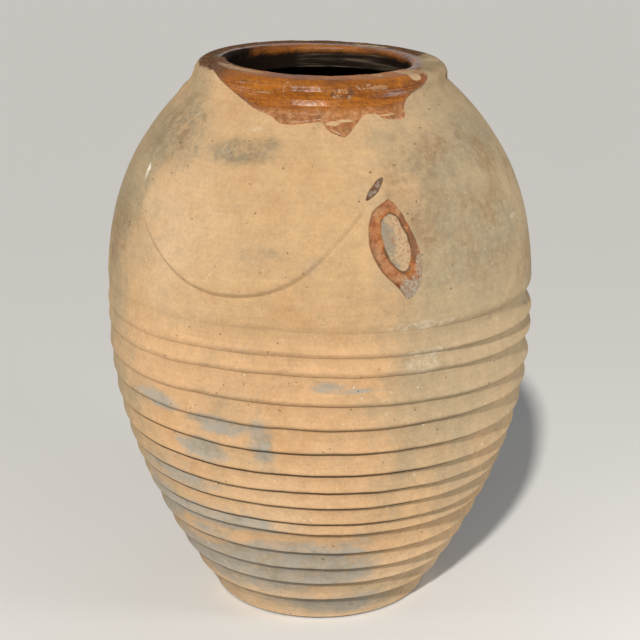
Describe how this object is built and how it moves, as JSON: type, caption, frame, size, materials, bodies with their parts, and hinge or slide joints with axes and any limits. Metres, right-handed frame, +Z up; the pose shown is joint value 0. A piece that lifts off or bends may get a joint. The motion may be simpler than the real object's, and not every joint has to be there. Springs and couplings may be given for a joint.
{
  "type": "storage jar",
  "caption": "Large earthenware pithos: lapped ridged courses rise to a smooth shoulder, short neck and thick lip, with a glaze run, a raised swag and a kiln scar.",
  "frame": {"origin": "middle of the underside, on the ground", "axes": "+Z up along the jar's axis, the front with the swag and the glaze run faces -Y, +X to the right as seen from the front"},
  "size_m": [0.6209, 0.6208, 0.8],
  "materials": {
    "clay": "matte",
    "glaze": "glossy",
    "mortar": "matte"
  },
  "bodies": {
    "root": {"base_floor": "clay", "foot_course": "clay", "wall_course_01": "clay", "wall_course_02": "clay", "wall_course_03": "clay", "wall_course_04": "clay", "wall_course_05": "clay", "wall_course_06": "clay", "wall_course_07": "clay", "wall_course_08": "clay", "wall_course_09": "clay", "wall_course_10": "clay", "wall_course_11": "clay", "wall_course_12": "clay", "wall_course_13": "clay", "wall_course_14": "clay", "shoulder_course_01": "clay", "shoulder_course_02": "clay", "shoulder_course_03": "clay", "shoulder_course_04": "clay", "shoulder_course_05": "clay", "neck_collar": "clay", "rim_lip": "clay", "cordon_left_end": "clay", "cordon_swag": "clay", "cordon_right_end": "clay", "mouth_glaze": "glaze", "rim_glaze": "glaze", "kiln_scar_glaze": "glaze", "cordon_chip_left": "glaze", "cordon_chip_right": "glaze", "kiln_scar_fill": "mortar"}
  },
  "joints": []
}
